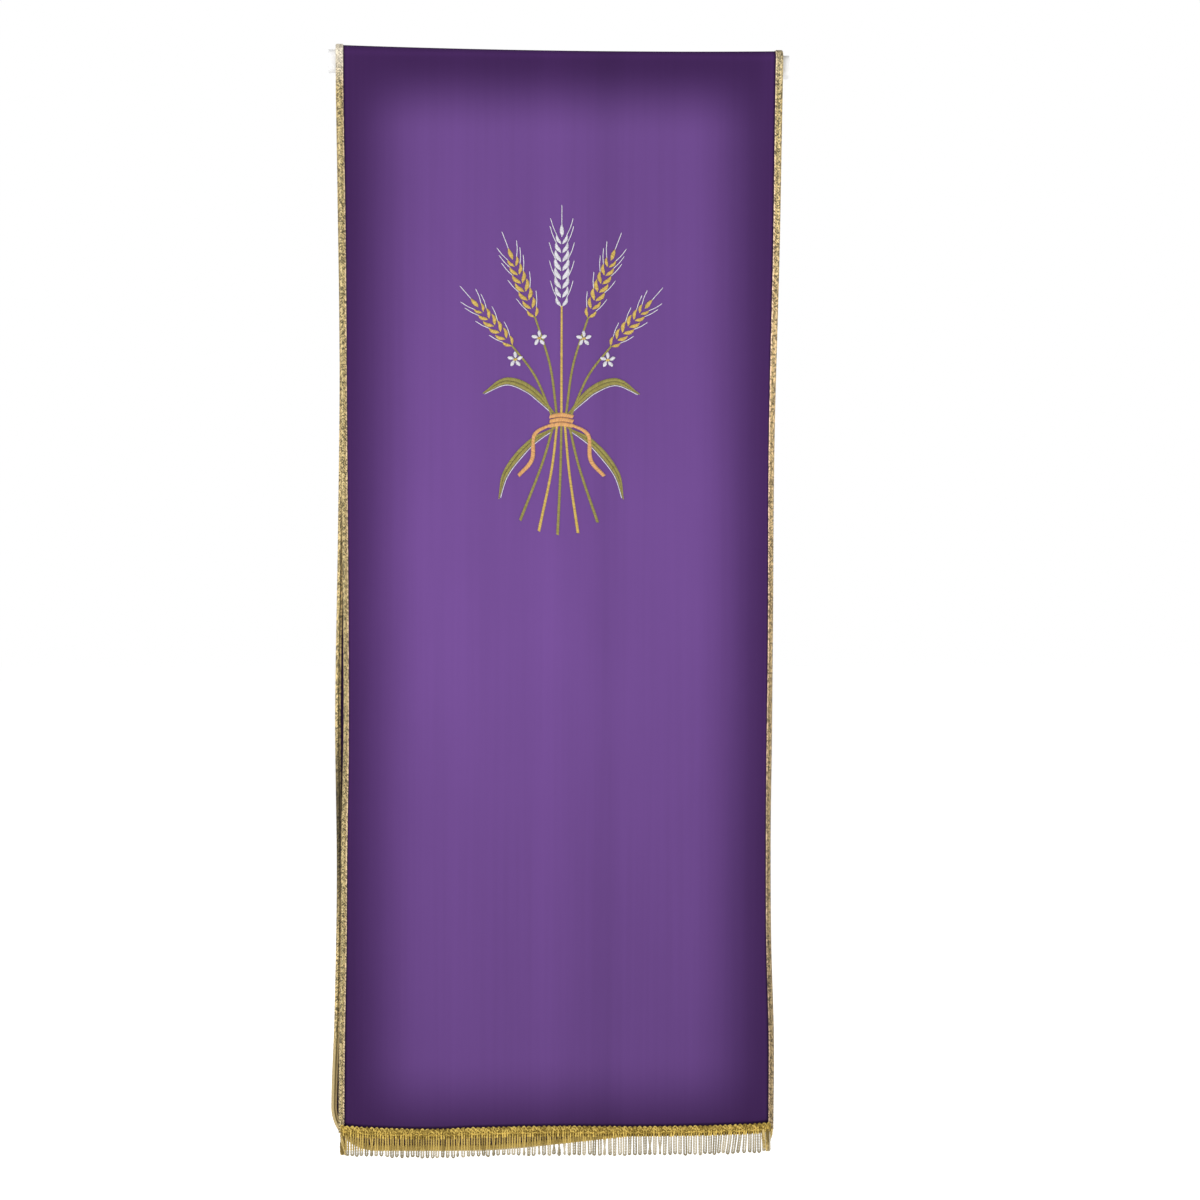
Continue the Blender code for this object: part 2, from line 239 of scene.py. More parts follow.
def clothPoint(across, along):
    # along is measured on the cloth from the middle of the bar's top, below zero towards the front
    across, along = np.broadcast_arrays(np.asarray(across, float), np.asarray(along, float))
    side = np.where(along < 0, -1.0, 1.0)
    far = np.abs(along)
    turned = np.clip(far - flatTopHalf, 0, foldArc) / foldRadius
    radius = foldRadius + edgeRise(across)
    y = side * (np.minimum(far, flatTopHalf) + radius * np.sin(turned))
    z = clothMiddleTop - foldRadius + radius * np.cos(turned)
    overBar = stack(across, y, z)
    panels = {}
    for hand in (-1, 1):
        share = np.maximum(far - foldEnd, 0) / panelLength(hand)
        panels[hand] = panelPoint(hand, across, panelStart + share * (hemDrop(hand, across) - panelStart))
    hanging = np.where((along < 0)[..., None], panels[-1], panels[1])
    return np.where((far <= foldEnd)[..., None], overBar, hanging)


def unit(vectors):
    return vectors / np.linalg.norm(vectors, axis=-1, keepdims=True)


def surfaceNormal(surface, across, place, step=0.3 * mm):
    over = surface(across + step, place) - surface(across - step, place)
    onward = surface(across, place + step) - surface(across, place - step)
    return unit(np.cross(over, onward))


def clothNormal(across, along):
    return surfaceNormal(clothPoint, across, along)


def frontPoint(across, height):
    return panelPoint(-1, across, -height)


def offFront(across, drop, out):
    # a point that stands out from the middle of the front's thickness
    return frontPoint(across, -drop) + surfaceNormal(frontPoint, across, -drop) * out[:, None]


def lengthsAlong(points):
    return np.concatenate(([0], np.cumsum(np.linalg.norm(np.diff(points, axis=0), axis=1))))


# Helpers for meshes: a primitive is added, cut, repeated, and its points are laid where they belong
def readPoints(mesh):
    points = np.empty(len(mesh.vertices) * 3)
    mesh.vertices.foreach_get("co", points)
    return points.reshape(-1, 3)


def writePoints(mesh, points):
    mesh.vertices.foreach_set("co", np.ascontiguousarray(points, dtype=float).ravel())
    mesh.update()


def writeUv(mesh, u, v):
    # u and v are in metres on the cloth, one pair for each point
    corners = np.empty(len(mesh.loops), int)
    mesh.loops.foreach_get("vertex_index", corners)
    mesh.uv_layers.active.data.foreach_set("uv", stack(u[corners], v[corners]).ravel())


def writeValues(mesh, name, values):
    # one value for each point, which a material reads by its name
    layer = mesh.attributes.new(name, "FLOAT", "POINT")
    layer.data.foreach_set("value", np.ascontiguousarray(values, dtype=float))


def setMode(mode):
    bpy.ops.object.mode_set(mode=mode)


def smoothShading(degrees):
    # edges that turn by more than this stay sharp
    bpy.ops.object.shade_smooth_by_angle(angle=math.radians(degrees))


def addGrid(name, columns, rows):
    bpy.ops.mesh.primitive_grid_add(x_subdivisions=columns, y_subdivisions=rows, size=2)
    piece = bpy.context.active_object
    piece.name = name
    points = readPoints(piece.data)
    column = np.rint((points[:, 0] + 1) / 2 * columns).astype(int)
    row = np.rint((points[:, 1] + 1) / 2 * rows).astype(int)
    return piece, column, row


def applyModifier(piece, kind, **settings):
    modifier = piece.modifiers.new(kind.lower(), kind)
    for name, value in settings.items():
        setattr(modifier, name, value)
    bpy.context.view_layer.objects.active = piece
    bpy.ops.object.modifier_apply(modifier=modifier.name)


def addYarns(name, count, sides, cuts, place):
    # one tube, cut into rings and repeated; place(yarn, angle, share) lays the points of all its copies
    bpy.ops.mesh.primitive_cylinder_add(vertices=sides, radius=1, depth=1, end_fill_type="NGON")
    piece = bpy.context.active_object
    piece.name = name
    setMode("EDIT")
    bpy.ops.mesh.select_mode(type="EDGE")
    bpy.ops.mesh.select_all(action="DESELECT")
    setMode("OBJECT")
    for edge in piece.data.edges:
        ends = [piece.data.vertices[i].co.z for i in edge.vertices]
        edge.select = abs(ends[0] - ends[1]) > 0.5
    setMode("EDIT")
    bpy.ops.mesh.subdivide(number_cuts=cuts)
    setMode("OBJECT")
    apart = 4
    applyModifier(
        piece, "ARRAY", count=count, use_relative_offset=False, use_constant_offset=True,
        constant_offset_displace=(apart, 0, 0),
    )
    points = readPoints(piece.data)
    yarn = np.arange(len(points)) // (len(points) // count)
    angle = np.arctan2(points[:, 1], points[:, 0] - apart * yarn)
    share = points[:, 2] + 0.5
    writePoints(piece.data, place(yarn, angle, share))
    smoothShading(70)
    return piece, yarn, share


def tubeSection(path, share, angle, facing, radius):
    # a ring of a tube round path(share); facing is a direction that the path never runs along
    step = 0.004
    along = unit(path(np.minimum(share + step, 1)) - path(np.maximum(share - step, 0)))
    sideways = unit(np.cross(along, facing))
    outward = np.cross(sideways, along)
    return path(share) + radius[:, None] * (
        np.cos(angle)[:, None] * sideways + np.sin(angle)[:, None] * outward
    )


def finishPiece(piece, slot, material, *nodes):
    piece.data.materials.clear()
    piece.data.materials.append(material)
    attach(piece, "root")
    if nodes:
        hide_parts(*nodes)
    piece.select_set(False)
    print(piece.name, len(piece.data.polygons), "faces")


# Helpers for materials
class Paint:
    def __init__(self, name, **fixed):
        self.material = bpy.data.materials.new(name)
        self.material.use_nodes = True
        self.tree = self.material.node_tree
        self.shader = self.tree.nodes["Principled BSDF"]
        for socket, value in fixed.items():
            self.shader.inputs[socket.replace("_", " ")].default_value = value

    def node(self, kind, inputs=(), **settings):
        made = self.tree.nodes.new("ShaderNode" + kind)
        for name, value in settings.items():
            setattr(made, name, value)
        for socket, value in dict(inputs).items():
            if isinstance(value, bpy.types.NodeSocket):
                self.tree.links.new(value, made.inputs[socket])
            else:
                made.inputs[socket].default_value = value
        return made

    def math(self, operation, *values):
        return self.node("Math", dict(enumerate(values)), operation=operation).outputs[0]

    def ease(self, value, low, high, start=0.0, end=1.0):
        # goes smoothly from start to end as value goes from low to high
        inputs = {"Value": value, "From Min": low, "From Max": high, "To Min": start, "To Max": end}
        return self.node("MapRange", inputs, interpolation_type="SMOOTHSTEP").outputs["Result"]

    def product(self, result, *values):
        for value in values:
            result = self.math("MULTIPLY", result, value)
        return result

    def distance(self, value, middle):
        return self.math("ABSOLUTE", self.math("SUBTRACT", value, middle))

    def between(self, share, first, second):
        return self.node("Mix", {0: share, 2: first, 3: second}).outputs[0]

    def scaled(self, colour, tone):
        return self.node("VectorMath", {0: colour, "Scale": tone}, operation="SCALE").outputs["Vector"]

    def mix(self, share, first, second, blend="MIX"):
        made = self.node("Mix", {"Factor": share}, data_type="RGBA", blend_type=blend)
        for socket, value in ((made.inputs[6], first), (made.inputs[7], second)):
            if isinstance(value, bpy.types.NodeSocket):
                self.tree.links.new(value, socket)
            else:
                socket.default_value = (*value, 1)
        return made.outputs[2]

    def ramp(self, value, stops, kind="LINEAR"):
        # stops are pairs of a place from 0 to 1 and a colour
        made = self.node("ValToRGB", {"Fac": value})
        made.color_ramp.interpolation = kind
        for place, _ in stops[1:-1]:
            made.color_ramp.elements.new(place)
        for element, (place, colour) in zip(made.color_ramp.elements, stops):
            element.position = place
            element.color = (*colour, 1)
        return made.outputs["Color"]

    def noise(self, vector, scale, detail=2.0):
        inputs = {"Vector": vector, "Scale": scale, "Detail": detail}
        return self.node("TexNoise", inputs).outputs["Fac"]

    def stretched(self, vector, x, y, z=1.0):
        return self.node("Mapping", {"Vector": vector, "Scale": (x, y, z)}).outputs["Vector"]

    def finish(self, colour, height=None, depth=0.0002, strength=0.5):
        self.tree.links.new(colour, self.shader.inputs["Base Color"])
        if height is not None:
            relief = self.node("Bump", {"Height": height, "Distance": depth, "Strength": strength})
            self.tree.links.new(relief.outputs["Normal"], self.shader.inputs["Normal"])
        return self.material


# Cloth
cloth = {
    "columns": 84,
    "panelStep": 0.0070,
    "foldStep": 0.0015,
    # the bright colour, and the painted shade colour that the cloth darkens to near its sides, top and hem
    "bright": (0.169, 0.074, 0.291),
    "paintedShadeColour": (0.056, 0.0185, 0.099),
    "sideShade": (0.004, 0.104),  # distances from the edge at which the painted shade starts and ends
    "topShade": (0.0240, 0.111),
    "hemShade": (-0.015, 0.093),
    "streaks": (150, 2.5),  # how fine they are across and down
    "clouds": (9, 5),
    "uneven": 0.035,
    "weavePitch": 0.00062,
    "weaveTone": 0.04,
    "slowReach": 1.25,
    # painted light, a long slow change down the cloth: share of that reach from the top, tone
    "slowLight": (
        (0.0096, 0.880), (0.1056, 0.835), (0.2096, 0.890), (0.3296, 0.924), (0.4576, 0.985),
        (0.5856, 0.944), (0.6976, 0.862), (0.8096, 0.800), (0.9056, 0.742), (0.987, 0.732),
    ),
    # painted light and shade of soft upright folds: middle, half width, change
    "paintedFoldLight": ((0.053, 0.026, -0.07), (-0.012, 0.024, 0.05), (-0.110, 0.030, 0.03)),
    # painted shadow lines: darker beside the binding, above the heading and along the fold's crest, with
    # painted lighter lines next to them, and painted light over the top of the bar: where it is measured
    # from, first and last distance, tone at each
    "paintedShadeLines": (
        ("side", 0.0080, 0.0103, 0.5, 1.0),
        ("paintedPaleLine", 0.0, 0.0018, 1.08, 1.0),
        ("hem", 0.0112, 0.0136, 0.45, 1.0),
        ("top", 0.0125, 0.0150, 0.90, 1.15),
        ("top", 0.0175, 0.0240, 1.0, 0.87),
        ("top", 0.0040, 0.0115, 2.4, 1.0),
    ),
    "paintedPaleLine": 0.0123,  # painted lighter line, this far from the side edge
    # painted light: the right side lighter near its edge, a little darker further in
    "rightFrom": (0.0, 0.02),
    "rightPaintedLight": (0.010, 0.036, 0.12, -0.03),
}


def clothMaterial():
    paint = Paint(
        "purpleCloth", Roughness=0.85, Sheen_Weight=0.03, Sheen_Roughness=0.5, Specular_IOR_Level=0.08
    )
    uv = paint.node("UVMap").outputs["UV"]
    flat = paint.node("SeparateXYZ", {"Vector": uv})
    u, v = flat.outputs["X"], flat.outputs["Y"]
    fromTop = paint.math("ABSOLUTE", v)
    fromSide = paint.math("SUBTRACT", halfWidth, paint.math("ABSOLUTE", u))
    isFront = paint.math("LESS_THAN", v, 0.0)
    length = paint.node("Mix", {0: isFront, 2: backEnd, 3: -frontEnd}).outputs[0]
    fromHem = paint.math("SUBTRACT", length, fromTop)
    # painted shade, darker towards the sides, top and hem
    light = paint.product(
        paint.ease(fromSide, *cloth["sideShade"]),
        paint.ease(fromTop, *cloth["topShade"]),
        paint.ease(fromHem, *cloth["hemShade"]),
    )
    # painted light that changes slowly down the cloth
    slow = paint.ramp(
        paint.math("DIVIDE", fromTop, cloth["slowReach"]),
        [(place, (tone, tone, tone)) for place, tone in cloth["slowLight"]],
        "B_SPLINE",
    )
    measured = {
        "side": fromSide, "hem": fromHem, "top": fromTop,
        "paintedPaleLine": paint.distance(fromSide, cloth["paintedPaleLine"]),
    }
    # painted shadow lines and painted lighter lines
    paintedShadeLines = [paint.ease(measured[name], *tones) for name, *tones in cloth["paintedShadeLines"]]
    # painted light on the right side near its edge
    isRight = paint.ease(u, *cloth["rightFrom"])
    paintedShadeLines.append(paint.math("MULTIPLY_ADD", isRight, paint.ease(fromSide, *cloth["rightPaintedLight"]), 1.0))
    # painted light and shade of soft upright folds
    for middle, half, change in cloth["paintedFoldLight"]:
        paintedShadeLines.append(paint.ease(paint.distance(u, middle), 0.0, half, 1 + change, 1.0))
    streak = paint.noise(paint.stretched(uv, *cloth["streaks"]), 1.0, 3.0)
    cloud = paint.noise(paint.stretched(uv, *cloth["clouds"]), 1.0, 2.0)
    uneven = paint.math("ADD", paint.math("MULTIPLY", streak, 0.5), paint.math("MULTIPLY", cloud, 0.5))
    uneven = paint.ease(uneven, 0.3, 0.7, 1 - cloth["uneven"], 1 + cloth["uneven"])
    turns = 2 * math.pi / cloth["weavePitch"]
    weft = paint.math("SINE", paint.math("MULTIPLY", v, turns))
    warp = paint.math("SINE", paint.math("MULTIPLY", u, turns))
    weave = paint.math("MULTIPLY", weft, warp)
    grain = paint.math("MULTIPLY_ADD", weave, cloth["weaveTone"], uneven)
    # the cloth's colour, from its painted shade colour to its bright colour
    shaded = paint.mix(light, cloth["paintedShadeColour"], cloth["bright"])
    toned = paint.scaled(shaded, paint.product(slow, grain, *paintedShadeLines))
    return paint.finish(toned, weave, depth=0.00008, strength=0.35)


def makeCloth():
    frontRows = np.linspace(frontEnd, -foldEnd, round(panelLength(-1) / cloth["panelStep"]) + 1)
    foldRows = np.linspace(-foldEnd, foldEnd, round(2 * foldEnd / cloth["foldStep"]) + 1)
    straightEnd = backEnd - clothSize["backCornerRadius"]
    backRows = np.linspace(foldEnd, straightEnd, round((straightEnd - foldEnd) / cloth["panelStep"]) + 1)
    quarter = np.sin(np.linspace(0, np.pi / 2, 16))
    cornerRows = straightEnd + clothSize["backCornerRadius"] * quarter
    alongRows = np.concatenate((frontRows, foldRows[1:], backRows[1:], cornerRows[1:]))
    piece, column, row = addGrid("clothSheet", cloth["columns"], len(alongRows) - 1)
    across = (column / cloth["columns"] - 0.5) * clothSize["width"]
    along = alongRows[row]
    writePoints(piece.data, clothPoint(across, along))
    writeUv(piece.data, across, along)
    applyModifier(piece, "SOLIDIFY", thickness=clothSize["thickness"], offset=0, use_even_offset=True)
    smoothShading(60)
    finishPiece(piece, "cloth", clothMaterial(), "cloth")
    return piece


clothSheet = makeCloth()

# Binding: a knitted tape folded over the edge, a plait of small stitches on its face
binding = {
    "step": 0.001525,
    "gap": 0.0004,
    "thickness": 0.0008,
    "stitchHeight": 0.00016,
    "cornerReach": 0.06,  # this far from the back's hem the tape begins to follow the rounded corner
    "tries": (0.016, 33),  # how far in from the edge the cloth is measured, and at how many places
    # round the tape in mm: inward from the cloth's edge, out from its middle, share of the stitch height
    "profile": (
        (7.25, 1.15, 0), (7.05, 1.72, 0), (6.1, 1.82, 1), (4.9, 1.82, -1), (3.7, 1.82, 1),
        (2.5, 1.82, -1), (1.3, 1.82, 1), (0.2, 1.72, -1), (-0.75, 1.35, 1), (-1.15, 0.6, 0),
        (-1.15, -0.6, 0), (-0.75, -1.35, 0), (0.3, -1.75, 1), (1.6, -1.8, -1), (2.9, -1.8, 1),
        (4.1, -1.8, -1), (5.3, -1.7, 0), (5.45, -1.2, 0), (-0.4, -0.9, 0), (-0.4, 0.9, 0), (6.9, 1.0, 0),
    ),
    "face": 16,  # the profile's points up to this one are the tape's outer face
    "crest": (9, 10),  # the fold lies half way between these two
    # bands of yarn colour, with painted light on the ridge past the fold and a dark painted shadow line on
    # the inner leaf, by the distance in mm round the tape from the fold, below zero on the outer leaf
    "shadedBands": (
        (-9.8, (0.53, 0.40, 0.25)), (-8.6, (0.51, 0.38, 0.23)), (-8.1, (0.30, 0.225, 0.095)),
        (-5.6, (0.31, 0.24, 0.105)), (-4.8, (0.44, 0.35, 0.175)), (-3.3, (0.42, 0.335, 0.16)),
        (-2.6, (0.34, 0.25, 0.11)), (-1.8, (0.34, 0.25, 0.11)), (-1.0, (0.42, 0.335, 0.165)),
        (0.8, (0.54, 0.435, 0.21)), (1.6, (0.53, 0.38, 0.18)), (2.4, (0.64, 0.50, 0.24)),
        (4.0, (0.61, 0.475, 0.225)), (4.6, (0.16, 0.115, 0.035)), (5.6, (0.16, 0.115, 0.035)),
        (6.2, (0.53, 0.385, 0.175)), (8.2, (0.46, 0.335, 0.155)),
    ),
    "bandReach": 20.0,  # mm of tape, half on each leaf, that the bands are spread over
    "knitPitch": 0.00305,
    "chevronMiddle": -0.0050,
    "grains": 660.0,  # painted glints a metre, in the speckle of the knit
    "grainShare": 0.74,
    "chevronShare": 0.26,
    # tone of the speckle, from dark specks to bright painted glints
    "speckle": (0.14, 0.86, 0.22, 1.90),
    "innerLeaf": (0.0004, 0.0012),
    # the next three are distances along the tape from the back hem's middle
    "smoothEnds": (0.32, 0.37, 1.0, 0.0),
    "shade": (0.585, 0.02, 0.16, 0.19),  # painted shade: middle, where it is full and where it ends, its tone
    "hemEnds": (0.185, 0.245, 1.0, 0.0),
    "hemColour": (0.49, 0.345, 0.09),
    # painted light on the right of the front, down from the bar: where it begins, brightens, darkens and
    # warms, its tint
    "right": ((0.0, 0.03), (0.03, 0.27, 1.12, 1.42), (0.30, 1.15, 1.0, 0.55), (0.05, 0.35), (1.0, 0.93, 1.0)),
    # painted light over the bar: how far from it, strong on the left and faint on the right, colour, tone and
    # its share
    "top": ((0.020, 0.065), (0.0, 0.1, 0.75, 0.12), (0.80, 0.73, 0.60), 1.1, 0.7),
}


def bindingMaterial(topPlace):
    # topPlace is the distance along the tape from the back hem's middle to the bar
    paint = Paint("knittedGold", Roughness=0.5, Metallic=0.1, Sheen_Weight=0.02, Specular_IOR_Level=0.3)
    uv = paint.node("UVMap").outputs["UV"]
    flat = paint.node("SeparateXYZ", {"Vector": uv})
    along, across = flat.outputs["X"], flat.outputs["Y"]
    far = paint.math("ABSOLUTE", along)

    def downRight(low, high, *tones):
        return paint.ease(along, topPlace + low, topPlace + high, *tones)

    shadedBands = paint.ramp(
        paint.math("MULTIPLY_ADD", across, 1 / (binding["bandReach"] * mm), 0.5),
        [(place / binding["bandReach"] + 0.5, colour) for place, colour in binding["shadedBands"]],
    )
    # chevrons that meet half way across the outer leaf, broken up by speckle: the yarn's own unevenness and
    # painted glints
    slant = paint.distance(across, binding["chevronMiddle"])
    turns = paint.math("MULTIPLY", paint.math("ADD", along, slant), 2 * math.pi / binding["knitPitch"])
    chevron = paint.ease(paint.math("SINE", turns), -0.8, 0.8)
    grains = paint.node("TexVoronoi", {"Vector": uv, "Scale": binding["grains"]}).outputs["Color"]
    grain = paint.node("SeparateColor", {"Color": grains}).outputs["Red"]
    chevron = paint.math("MULTIPLY", chevron, binding["chevronShare"])
    knit = paint.math("MULTIPLY_ADD", grain, binding["grainShare"], chevron)
    # the inner leaf is smoother round the back hem, and has painted shade where it lies behind the front's
    # edges
    isInner = paint.ease(across, *binding["innerLeaf"])
    isSmooth = paint.product(isInner, paint.ease(far, *binding["smoothEnds"]))
    tone = paint.between(isSmooth, paint.ease(knit, *binding["speckle"]), 1.0)
    middle, full, end, shadeTone = binding["shade"]
    shade = paint.ease(paint.distance(far, middle), full, end, shadeTone, 1.0)
    tone = paint.product(tone, paint.between(isInner, 1.0, shade))
    # painted light on the right of the front, brightest a quarter of the way down, and a warmer tint there
    *right, tint = binding["right"]
    begins, brightens, darkens, warms = (downRight(*span) for span in right)
    tone = paint.product(tone, paint.between(begins, 1.0, paint.product(brightens, darkens)))
    shadedBands = paint.mix(warms, shadedBands, tint, "MULTIPLY")
    # warmer along the back hem; greyer and paler over the bar, with painted light
    isHem = paint.product(isInner, paint.ease(far, *binding["hemEnds"]))
    shadedBands = paint.mix(isHem, shadedBands, binding["hemColour"])
    ends, hands, colour, topTone, share = binding["top"]
    isTop = paint.math("SUBTRACT", 1.0, paint.ease(paint.distance(far, topPlace), *ends))
    isTop = paint.product(isTop, paint.ease(along, *hands))
    shadedBands = paint.mix(isTop, shadedBands, colour)
    tone = paint.between(paint.product(isTop, share), tone, topTone)
    return paint.finish(paint.scaled(shadedBands, tone), knit, depth=0.00015, strength=0.5)


def edgeRoute():
    # the cloth's bound edge as (across, along), evenly spaced on the real length
    count = 6000
    corner = binding["cornerReach"]
    sides = np.concatenate((
        np.linspace(frontEnd, backEnd - corner, count),
        backEnd - corner + corner * np.sin(np.linspace(0, np.pi / 2, count // 8))[1:],
    ))
    hem = np.linspace(-halfWidth, halfWidth, count // 2)[1:-1]
    across = np.concatenate((np.full(len(sides), -halfWidth), hem, np.full(len(sides), halfWidth)))
    along = np.concatenate((sides, np.full(len(hem), backEnd), sides[::-1]))
    reached = lengthsAlong(clothPoint(across, along))
    places = np.linspace(0, reached[-1], round(reached[-1] / binding["step"]) + 1)
    return np.interp(places, reached, across), np.interp(places, reached, along), places


def makeBinding():
    across, along, places = edgeRoute()
    edge = clothPoint(across, along)
    tangent = unit(np.gradient(edge, axis=0))
    hand = np.where(across < 0, 1, -1)
    # on the straight sides the tape follows the curled cloth; round the back hem it lies flat on it
    isSide = (np.abs(across) > halfWidth - 1e-6) & (along < backEnd - binding["cornerReach"])
    tries = np.linspace(0, *binding["tries"])
    tried = clothPoint(across[:, None] + hand[:, None] * tries, along[:, None])
    steps = np.linalg.norm(np.diff(tried, axis=1), axis=2)
    reached = np.concatenate((np.zeros((len(across), 1)), np.cumsum(steps, axis=1)), axis=1)
    hemNormal = clothNormal(across, np.minimum(along, backEnd - 0.002))
    inward = unit(np.cross(tangent, hemNormal))
    profile = binding["profile"]
    rings = []
    for inset, out, stitch in profile:
        inset, out = inset * mm, out * mm
        inner = max(inset, 0)
        i = np.clip((reached < inner).sum(axis=1), 1, len(tries) - 1)
        k = np.arange(len(across))
        share = (inner - reached[k, i - 1]) / (reached[k, i] - reached[k, i - 1])
        moved = across + hand * (tries[i - 1] + share * (tries[i] - tries[i - 1]))
        onSide = clothPoint(moved, along)
        sideNormal = clothNormal(moved, along)
        onSide = onSide + unit(np.cross(tangent, sideNormal)) * min(inset, 0)
        onHem = edge + inward * inset
        point = np.where(isSide[:, None], onSide, onHem)
        normal = np.where(isSide[:, None], sideNormal, hemNormal)
        wave = stitch * np.where(k % 2 == 0, 1, -1) * binding["stitchHeight"] * (1 if out > 0 else -1)
        rings.append(point + normal * (out + wave)[:, None])
    rings.append(rings[0])
    piece, column, row = addGrid("edgeBindingTape", len(profile), len(places) - 1)
    writePoints(piece.data, np.array(rings)[column, row])
    # v is the distance round the tape from its fold, below zero on the outer leaf
    outline = np.array([point[:2] for point in profile[: binding["face"] + 1]]) * mm
    reach = lengthsAlong(outline)
    first, second = binding["crest"]
    reach = reach - (reach[first] + reach[second]) / 2
    v = reach[np.minimum(column, binding["face"])]
    writeUv(piece.data, places[row] - places[-1] / 2, v)
    setMode("EDIT")
    bpy.ops.mesh.select_all(action="SELECT")
    bpy.ops.mesh.remove_doubles(threshold=0.00001)
    bpy.ops.mesh.fill_holes(sides=64)
    bpy.ops.mesh.normals_make_consistent(inside=False)
    setMode("OBJECT")
    smoothShading(80)
    finishPiece(piece, "binding", bindingMaterial(places[-1] / 2 + frontEnd), "edge_binding")
    return piece


edgeBindingTape = makeBinding()

# Fringe
fringe = {
    "count": 86,
    "shortLeft": 0.0036,
    "shortRight": 0.0054,
    "stepStarts": 0.0195,
    "stepEnds": 0.0125,
    "offCloth": 0.0003,
    "offBinding": 0.0002,
    "headingUneven": 0.24,  # mm, spread of the crochet's points
    "lowerEdgeUneven": 0.3,  # how much of that the neat lower edge has
    "footRows": (-1.2, 1.5, 5.0, 8.0, 9.6),  # mm above the hem
    "footOut": 0.35,
    "footThickness": 0.0006,
    "rootDepth": (0.6, 0.9),  # of a strand's root, in mm: below the hem, out from the heading's back
    "bundleDepth": (0.4, 0.9),
    "bundleYarn": 1.1,
    "bundleStarts": 3.0,  # mm above its root
    "strandLength": 0.0226,
    "strandYarn": 0.00102,
    "leaningMiddle": 0.197,
    "leaningHalf": 0.030,
    "leaningReach": 0.003,
    "sway": 0.5,  # mm to either side
    "forward": 0.8,
    "lengthSpread": (-1.2, 0.6),
    "legSpread": (0.20, 0.255),  # a leg's distance from the strand's middle, as a share of the pitch
    "legTurn": 0.06,  # of most strands, in half turns before the factor below
    "crossedLegs": (0.15, 0.30),  # the share of strands whose legs cross, and by how much
    "halfTurns": 2.6,  # the factor from a strand's turn to the angle between its legs, in half turns
    "legEnds": 0.46,  # shares of the yarn: each leg, and the turn at the bottom
    "turnShare": 0.08,
    # yarns: pale and deep colour, painted glints a metre, contrast
    "headingLook": ((0.82, 0.59, 0.135), (0.24, 0.155, 0.018), 520.0, (0.32, 0.70)),
    # the foot's colours are dark with painted shade
    "footLook": ((0.20, 0.125, 0.022), (0.10, 0.06, 0.012)),
    "strandLook": ((0.61, 0.435, 0.110), (0.26, 0.175, 0.035), 700.0, (0.15, 0.85)),
    "paintedBacklitLook": ((0.60, 0.52, 0.36), (0.30, 0.25, 0.145)),
    "bundleLook": ((0.70, 0.52, 0.19), (0.20, 0.135, 0.03), 520.0, (0.30, 0.75)),
    # painted light: a strand is paler below this height over the back hem, where light comes round it
    "paintedBacklitAbove": 0.0059,
    # bundles at the ends: nearest end, middle from it, yarns, then in mm half width at the root and at the
    # end, how much shorter, how far it leans
    "bundles": (
        ("left", 2.9, 9, 2.0, 3.2, 0.0, 0.2),
        ("right", -0.6, 9, 2.7, 1.5, 0.6, -3.0),
        ("right", -5.4, 7, 2.4, 1.4, 2.2, -0.6),
        ("right", -9.6, 5, 1.6, 1.0, 4.6, 1.2),
    ),
}
fringeLeft = -halfWidth + fringe["shortLeft"]
fringeRight = halfWidth - fringe["shortRight"]
fringePitch = (fringeRight - fringeLeft) / fringe["count"]


yarnLook = {"Roughness": 0.55, "Metallic": 0.1, "Sheen_Weight": 0.03, "Specular_IOR_Level": 0.3}


def yarnMaterial(name, pale, deep, scale=1400.0, contrast=(0.1, 0.95), clear=None, **fixed):
    # speckled yarn with painted glints; clear holds the pale and deep colours of painted backlight, for
    # points whose clear attribute is 1
    paint = Paint(name, **{**yarnLook, **fixed})
    place = paint.node("TexCoord").outputs["Object"]
    tone = paint.node("Attribute", attribute_name="tone").outputs["Fac"]
    glint = paint.noise(place, scale, 3.0)
    share = paint.math("ADD", paint.math("MULTIPLY", glint, 0.8), paint.math("SUBTRACT", tone, 0.4))
    share = paint.ease(share, *contrast)
    colour = paint.mix(share, deep, pale)
    if clear:
        isPaintedBacklit = paint.node("Attribute", attribute_name="clear").outputs["Fac"]
        colour = paint.mix(isPaintedBacklit, colour, paint.mix(share, clear[1], clear[0]))
    return paint.finish(colour, glint, depth=0.0001, strength=0.4)


def finishFringe(piece, name, **clear):
    gold = yarnMaterial(name + "Gold", *fringe[name + "Look"], **clear)
    finishPiece(piece, "fringe", gold, "front_fringe")


def headingBase(across):
    # out from the cloth's middle to the heading's back: it steps over the binding at both ends
    fromEdge = halfWidth - np.abs(across)
    share = (fringe["stepStarts"] - fromEdge) / (fringe["stepStarts"] - fringe["stepEnds"])
    overBinding = binding["gap"] + binding["thickness"] + fringe["offBinding"]
    return halfThickness + fringe["offCloth"] + overBinding * smooth(share)


def onHeading(local):
    # local points: across, distance above the hem, out from the heading's back
    across = np.clip(local[:, 0], -halfWidth + 0.0005, halfWidth - 0.0005)
    drop = hemDrop(-1, across) - local[:, 1]
    return offFront(across, drop, headingBase(across) + local[:, 2])


def rootsAt(across, depth):
    below, out = depth
    return onHeading(stack(across, -below * mm, out * mm))


